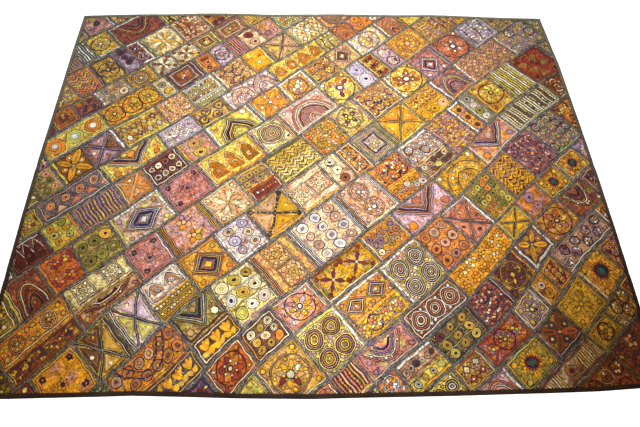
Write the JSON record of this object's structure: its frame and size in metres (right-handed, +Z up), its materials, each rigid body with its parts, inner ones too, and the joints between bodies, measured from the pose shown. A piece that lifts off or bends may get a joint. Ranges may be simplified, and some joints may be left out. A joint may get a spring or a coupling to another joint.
{
  "type": "embroidered patchwork wall hanging",
  "caption": "Rectangular cloth wall hanging pieced from embroidered patches in slanting rows, with braid over the seams and a narrow folded binding round the edge.",
  "frame": {"origin": "middle of the ground cloth's top edge, on its back face", "axes": "+X to the viewer's right along the top edge, +Y into the wall behind, +Z up; the embroidered face looks along -Y"},
  "size_m": [2.0339, 0.0131, 1.608],
  "materials": {
    "embroidered_patchwork": "matt embroidered cotton in marigold, rust, mauve and lime, with slate braid on the seams",
    "seam_braid": "matt slate-blue plaited cotton braid",
    "binding_cotton": "matt dark brown woven cotton"
  },
  "bodies": {
    "root": {"ground_cloth": "embroidered_patchwork", "binding_top": "binding_cotton", "binding_bottom": "binding_cotton", "binding_left": "binding_cotton", "binding_right": "binding_cotton"}
  },
  "joints": []
}
